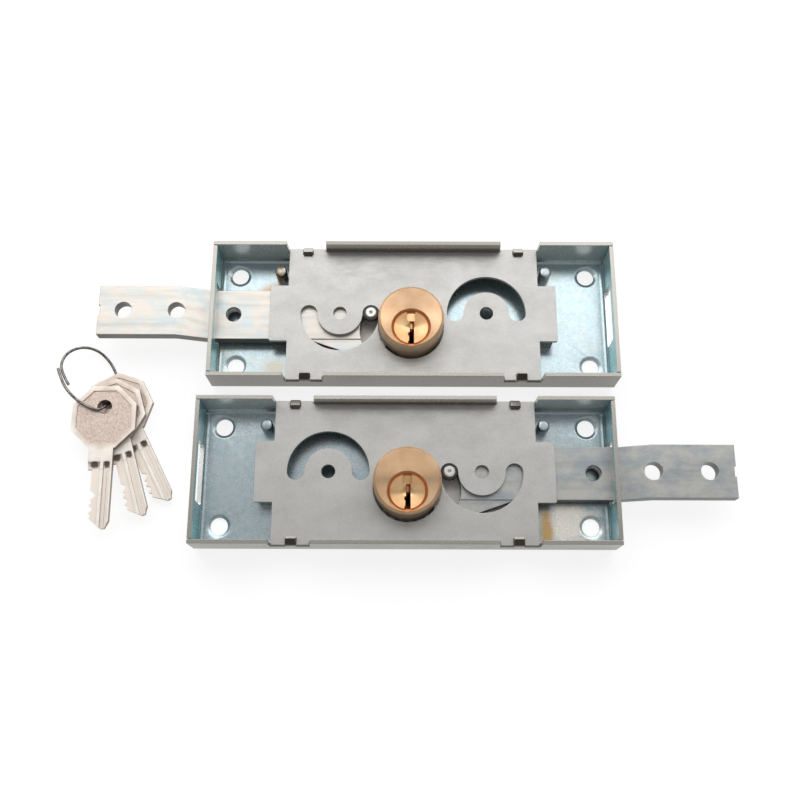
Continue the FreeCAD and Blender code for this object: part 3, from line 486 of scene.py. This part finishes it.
# Each key's hole, in millimetres, and its turn on the ring, in degrees. The painted shade ovals'
# places and reaches are measured from the hole of a key that hangs straight down.
key_places = (((-116.5, -37.5), 1.0), ((-115.6, -34.8), 17.7), ((-114.3, -32.0), 27.8))
runout_shade_spots = (((-2.1, -22.2), (1.6, 1.4)), ((2.45, -22.2), (1.2, 1.4)))
for number, ((hole_x, hole_y), swing) in enumerate(key_places, start=1):
    node = "key_" + str(number)
    low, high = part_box(node)
    nickel, tree, shader, place = metal(node + "_nickel", srgb(230, 216, 202), 0.5, 0.4)
    level = along(tree, place, "Z")
    clouds = cloudy(tree, place, 4 * mm, detail=5.0, rough=0.6)
    mixed = between(tree, clouds, 0.42, 0.66)
    from_bow = add_node(tree, "Mapping", Vector=place, Scale=(1, 1, 0),
                        Location=(-(low.x + bow_radius), -(high.y - bow_radius), 0))
    on_blade = over(tree, measure(tree, "LENGTH", from_bow), blade_from, 2.5 * mm)
    colour = blend(tree, on_blade, blend(tree, mixed, *bow_tones), blend(tree, mixed, *blade_tones))
    in_groove = under(tree, level, high.z - 0.45 * mm, 0.15 * mm)
    colour = blend(tree, in_groove, colour, groove_tone)
    stipple = cloudy(tree, place, 0.5 * mm, detail=3.0, rough=0.6)
    tarnish = blend(tree, between(tree, stipple, 0.42, 0.62), *tarnish_tones)
    in_bow = overlap(tree, under(tree, level, high.z - 0.2 * mm),
                     over(tree, level, high.z - 0.4 * mm, 0.05 * mm))
    colour = blend(tree, in_bow, colour, tarnish)
    # Painted shade: the upright sides are brown, as edges in shadow.
    colour = blend(tree, upright(tree, 0.8, 0.4, 0.8), colour, side_shade_brown)

    facing = tree.nodes.new("ShaderNodeNewGeometry").outputs["Normal"]
    face_up = between(tree, along(tree, facing, "Z"), 0.3, 0.5)
    milled = overlap(tree, under(tree, level, high.z - 0.08 * mm, 0.06 * mm), face_up)
    ragged = cloudy(tree, place, 0.8 * mm, detail=3.0)
    turn = math.radians(swing)
    # Painted shade: dark ovals on the milled faces where the cutters' run-outs lie in shadow.
    for (x, y), (reach_x, reach_y) in runout_shade_spots:
        spot_x = hole_x + x * math.cos(turn) - y * math.sin(turn)
        spot_y = hole_y + x * math.sin(turn) + y * math.cos(turn)
        oval = add_node(tree, "Mapping", {"vector_type": "TEXTURE"}, Vector=place,
                        Location=(spot_x * mm, spot_y * mm, 0), Rotation=(0, 0, turn),
                        Scale=(reach_x * mm, reach_y * mm, 1))
        reach = maths(tree, "MULTIPLY_ADD", ragged, 0.8, measure(tree, "LENGTH", oval))
        runout_shade = overlap(tree, milled, between(tree, reach, 1.6, 1.1, 0.0, 0.9))
        colour = blend(tree, runout_shade, colour, runout_shade_brown)
    tree.links.new(colour, shader.inputs["Base Color"])
    tree.links.new(between(tree, stipple, 0.3, 0.7, 0.34, 0.48), shader.inputs["Roughness"])
    surface(tree, shader, stipple, 0.02 * mm, 0.15 * mm)
    dress(node, nickel)


# Key ring: hard bright wire bent to one loop, its two ends lying side by side. It goes over the top
# key, down through the three bows and back under them.

wire_pale, wire_dark = srgb(142, 138, 132), srgb(84, 80, 75)
wire_radius = 0.55 * mm

# Points that steer the wire, in millimetres.
ring_route = [
    (-136.0, -22.0, 7.0), (-133.7, -27.4, 8.2), (-130.3, -32.2, 8.85), (-125.4, -36.3, 8.85),
    (-120.8, -38.6, 8.75), (-117.9, -38.9, 8.55), (-116.0, -35.8, 5.8), (-114.6, -32.6, 3.0),
    (-114.1, -30.2, 0.55), (-114.0, -26.6, 0.55), (-115.2, -22.4, 0.55), (-117.9, -17.4, 1.2),
    (-122.3, -13.2, 2.2), (-127.9, -11.8, 3.6), (-133.1, -14.2, 5.2), (-135.4, -19.0, 6.4),
    (-134.2, -24.0, 7.2), (-131.0, -28.7, 7.9),
]
wire = bpy.data.curves.new("ring_wire", "CURVE")
wire.dimensions = "3D"
wire.bevel_depth = wire_radius
wire.bevel_resolution = 5
wire.resolution_u = 10
wire.use_fill_caps = True
line = wire.splines.new("NURBS")
line.points.add(len(ring_route) - 1)
for point, (x, y, z) in zip(line.points, ring_route):
    point.co = (x * mm, y * mm, z * mm, 1)
line.order_u = 3
line.use_endpoint_u = True
bent_wire = bpy.data.objects.new("ring_wire", wire)
bpy.context.scene.collection.objects.link(bent_wire)
bpy.context.view_layer.update()
solved = bpy.context.evaluated_depsgraph_get()
wire_mesh = bpy.data.meshes.new_from_object(bent_wire.evaluated_get(solved))
bpy.data.objects.remove(bent_wire)
ring_piece = bpy.data.objects.new("wire_ring", wire_mesh)
bpy.context.scene.collection.objects.link(ring_piece)
wire_mesh.polygons.foreach_set("use_smooth", [True] * len(wire_mesh.polygons))
drawn_wire, tree, shader, place = metal("drawn_wire", srgb(132, 128, 122), 1.0, 0.25)
scuffs = cloudy(tree, place, 0.8 * mm, detail=4.0)
colour = blend(tree, between(tree, scuffs, 0.4, 0.65), wire_pale, wire_dark)
tree.links.new(colour, shader.inputs["Base Color"])
tree.links.new(between(tree, scuffs, 0.3, 0.7, 0.18, 0.4), shader.inputs["Roughness"])
wire_mesh.materials.append(drawn_wire)
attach(ring_piece, "cases")
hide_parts("key_ring")


# Threads in the bolts' tapped holes: the V-shaped turns that an M6 tap cuts, left as bright ridges.

thread_outer = 3.0 * mm
thread_inner = 2.55 * mm
thread_pitch = 1.0 * mm
turns = 3
steps_in_turn = 32
thread_foot = 0.1 * mm
hole_inset = 7.8 * mm
hole_above_middle = 3.5 * mm
for side in sides:
    low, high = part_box(side + "_bolt")
    case_low, case_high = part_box(side + "_case")
    hole_x = case_low.x + hole_inset if side == "left" else case_high.x - hole_inset
    hole_y = (low.y + high.y) / 2 + hole_above_middle
    foot = low.z + thread_foot
    mesh = bmesh.new()
    profile = [(thread_outer, foot), (thread_inner, foot + thread_pitch / 2),
               (thread_outer, foot + thread_pitch)]
    corners = [mesh.verts.new((hole_x + radius, hole_y, z)) for radius, z in profile]
    edges = [mesh.edges.new(pair) for pair in zip(corners, corners[1:])]
    bmesh.ops.spin(mesh, geom=corners + edges, cent=(hole_x, hole_y, 0), axis=(0, 0, 1),
                   dvec=(0, 0, thread_pitch / steps_in_turn), angle=2 * math.pi * turns,
                   steps=steps_in_turn * turns, use_merge=False)
    bmesh.ops.remove_doubles(mesh, verts=mesh.verts, dist=weld_reach)
    thread_mesh = bpy.data.meshes.new(side + "_bolt_thread")
    mesh.to_mesh(thread_mesh)
    mesh.free()
    thread = bpy.data.objects.new(side + "_bolt_thread", thread_mesh)
    bpy.context.scene.collection.objects.link(thread)
    thread_mesh.materials.append(bpy.data.materials[side + "_bright_pin"])
    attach(thread, side + "_sliding_bolt")


# Table: a plain white sheet just under the cases, lifted towards white where the camera or a bright
# surface sees it, and still holding the object's soft shadows. It is clear when seen from below.

table_width = 6
table_drop = 0.05 * mm
table_lift = 0.82
bpy.ops.mesh.primitive_plane_add(size=table_width)
table = bpy.context.object
table.name = "table"
table.data.transform(Matrix.Translation((0, 0, -table_drop)))
white, tree, shader, place = metal("white_table", srgb(142, 142, 142), 0.0, 0.9)
shader.inputs["Specular IOR Level"].default_value = 0.0
rays = tree.nodes.new("ShaderNodeLightPath")
seen = maths(tree, "MAXIMUM", rays.outputs["Is Camera Ray"], rays.outputs["Is Glossy Ray"])
seen = maths(tree, "MAXIMUM", seen, rays.outputs["Is Transmission Ray"])
shader.inputs["Emission Color"].default_value = (1, 1, 1, 1)
tree.links.new(maths(tree, "MULTIPLY", seen, table_lift), shader.inputs["Emission Strength"])
clear = add_node(tree, "BsdfTransparent")
from_below = tree.nodes.new("ShaderNodeNewGeometry").outputs["Backfacing"]
one_way = tree.nodes.new("ShaderNodeMixShader")
for socket, value in zip(one_way.inputs, (from_below, shader.outputs[0], clear)):
    tree.links.new(value, socket)
tree.links.new(one_way.outputs[0], tree.nodes["Material Output"].inputs["Surface"])
table.data.materials.append(white)


# Light: one wide soft box above and behind, so that bare metal shows it against a dimmer room, and a
# surround that grows paler towards the horizon and is white where the camera sees it.

room_front, room_back, horizon = 0.28, 0.58, 0.75
box_width, box_height, box_watts = 2.0, 1.0, 9.6
light_tilt = math.radians(46.5)
light_distance = 0.9
light_aim = Vector((-5 * mm, -32 * mm, 0))

world = bpy.data.worlds.new("surround")
bpy.context.scene.world = world
world.use_nodes = True
tree = world.node_tree
background = tree.nodes["Background"]
background.inputs["Color"].default_value = (1, 1, 1, 1)
direction = tree.nodes.new("ShaderNodeTexCoord").outputs["Generated"]
overhead = between(tree, along(tree, direction, "Y"), -0.4, 0.25, room_front, room_back)
to_horizon = between(tree, along(tree, direction, "Z"), 0.30, 0.08)
lift = maths(tree, "SUBTRACT", horizon, overhead)
surround = maths(tree, "MULTIPLY_ADD", to_horizon, lift, overhead)
camera_sees = tree.nodes.new("ShaderNodeLightPath").outputs["Is Camera Ray"]
tree.links.new(maths(tree, "MAXIMUM", surround, camera_sees), background.inputs["Strength"])

box_light = bpy.data.lights.new("soft_box", "AREA")
box_light.shape = "RECTANGLE"
box_light.size = box_width
box_light.size_y = box_height
box_light.energy = box_watts
soft_box = bpy.data.objects.new("soft_box", box_light)
bpy.context.scene.collection.objects.link(soft_box)
away = Vector((0, math.sin(light_tilt), math.cos(light_tilt)))
soft_box.location = light_aim + light_distance * away
soft_box.rotation_mode = "QUATERNION"
soft_box.rotation_quaternion = (light_aim - soft_box.location).to_track_quat("-Z", "Y")


# Camera: above the table, looking down at the photograph's angle. Its lens, place and angles, in
# radians, were fitted to the corners and holes of both cases.

lens_pixels = 978.33
picture_pixels = 800
sensor = 36.0
elevation = 1.27782
azimuth = -0.0064
roll = -0.00306
distance = 378.316 * mm
nearest = 0.01
aim = Vector((-4.973 * mm, -32.047 * mm, 0))

forward = Vector((math.sin(azimuth) * math.cos(elevation), math.cos(azimuth) * math.cos(elevation),
                  -math.sin(elevation)))
level = Vector((math.cos(azimuth), -math.sin(azimuth), 0))
upward = level.cross(forward)
right = math.cos(roll) * level + math.sin(roll) * upward
top = -math.sin(roll) * level + math.cos(roll) * upward

camera_data = bpy.data.cameras.new("camera")
camera_data.sensor_width = sensor
camera_data.lens = lens_pixels / picture_pixels * sensor
camera_data.clip_start = nearest
camera = bpy.data.objects.new("camera", camera_data)
bpy.context.scene.collection.objects.link(camera)
camera.matrix_world = (Matrix.Translation(aim - forward * distance)
                       @ Matrix((right, top, -forward)).transposed().to_4x4())
bpy.context.scene.camera = camera
bpy.context.scene.view_settings.view_transform = "Standard"
